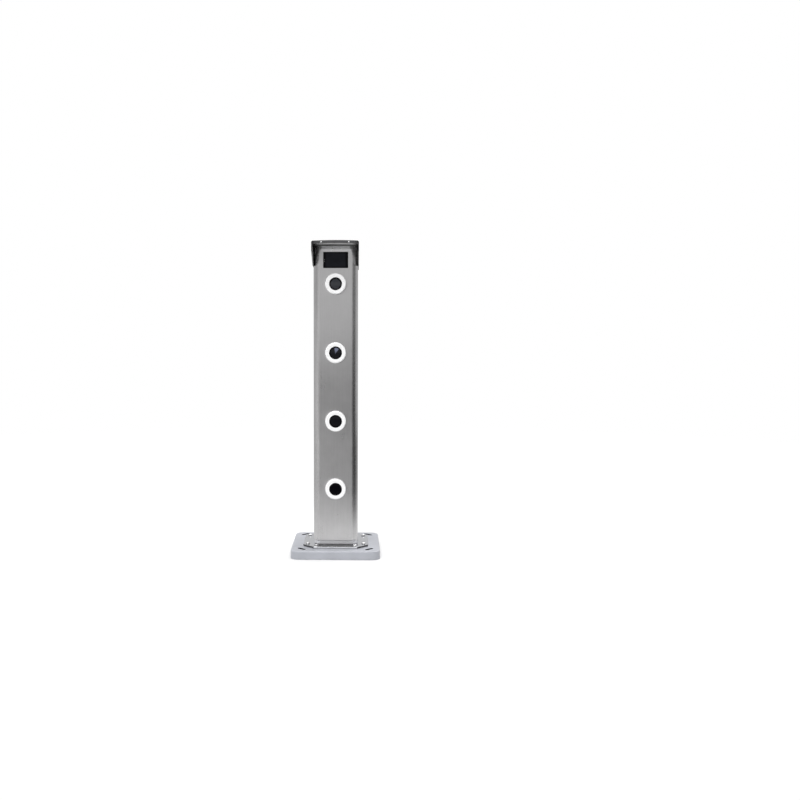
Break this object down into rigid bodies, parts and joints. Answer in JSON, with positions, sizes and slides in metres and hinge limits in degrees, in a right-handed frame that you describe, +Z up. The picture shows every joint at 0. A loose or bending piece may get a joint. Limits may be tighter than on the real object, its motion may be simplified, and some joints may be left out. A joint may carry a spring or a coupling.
{
  "type": "infrared beam detector",
  "caption": "Square stainless post on a cast floor base, with a column of white-ringed infrared beam eyes and a dark display under a folded rain hood.",
  "frame": {"origin": "on the floor at the centre of the base's footprint, which is also the axis of the post", "axes": "+Z up along the post, -Y out of the front face with the beam eyes, +X to the viewer's right"},
  "size_m": [0.16, 0.1668, 0.5619],
  "materials": {
    "cast_paint": "light grey paint on a casting, satin",
    "plate_steel": "stainless plate, polished",
    "socket_steel": "stainless tube, bright",
    "post_steel": "stainless tube, brushed along its length",
    "hood_paint": "folded sheet, dark grey paint, satin",
    "trim_steel": "stainless strip",
    "rail_steel": "plain sheet steel",
    "bright_screw": "polished stainless fasteners",
    "nut_nickel": "nickel-plated nut",
    "black_rubber": "matt black rubber",
    "gland_plastic": "black moulded plastic",
    "bezel_white": "white moulded plastic, smooth",
    "lens_dark": "dark infrared filter, polished",
    "module_black": "black moulded housing",
    "board_green": "circuit board",
    "standoff_brass": "turned brass",
    "terminal_plastic": "green moulded terminals",
    "relay_plastic": "moulded relay case",
    "display_pane": "dark polished pane",
    "display_dark": "unlit display panel",
    "black_plastic": "black moulded plastic"
  },
  "bodies": {
    "root": {"base_plate": "cast_paint", "beam_module_1": "module_black", "beam_module_2": "module_black", "beam_module_3": "module_black", "beam_module_4": "module_black", "bezel_seal_1": "black_rubber", "bezel_seal_2": "black_rubber", "bezel_seal_3": "black_rubber", "bezel_seal_4": "black_rubber", "board_screws": "bright_screw", "board_standoffs": "standoff_brass", "cable_gland": "gland_plastic", "control_board": "board_green", "display_board": "board_green", "display_frame": "black_plastic", "display_nuts": "bright_screw", "display_panel": "display_dark", "display_studs": "bright_screw", "display_window": "display_pane", "eye_nut_1": "nut_nickel", "eye_nut_2": "nut_nickel", "eye_nut_3": "nut_nickel", "eye_nut_4": "nut_nickel", "foot_gasket": "black_rubber", "foot_plate": "plate_steel", "foot_screws": "bright_screw", "foot_washers": "bright_screw", "gland_nut": "gland_plastic", "gland_seal": "black_rubber", "hood": "hood_paint", "hood_rivets": "bright_screw", "hood_screws": "bright_screw", "hood_trim": "trim_steel", "lens_bezel_1": "bezel_white", "lens_bezel_2": "bezel_white", "lens_bezel_3": "bezel_white", "lens_bezel_4": "bezel_white", "lens_window_1": "lens_dark", "lens_window_2": "lens_dark", "lens_window_3": "lens_dark", "lens_window_4": "lens_dark", "module_rail": "rail_steel", "post_socket": "socket_steel", "post_tube": "post_steel", "power_board": "board_green", "power_relay": "relay_plastic", "socket_screws": "bright_screw", "terminal_block": "terminal_plastic", "top_cap": "black_plastic"}
  },
  "joints": []
}
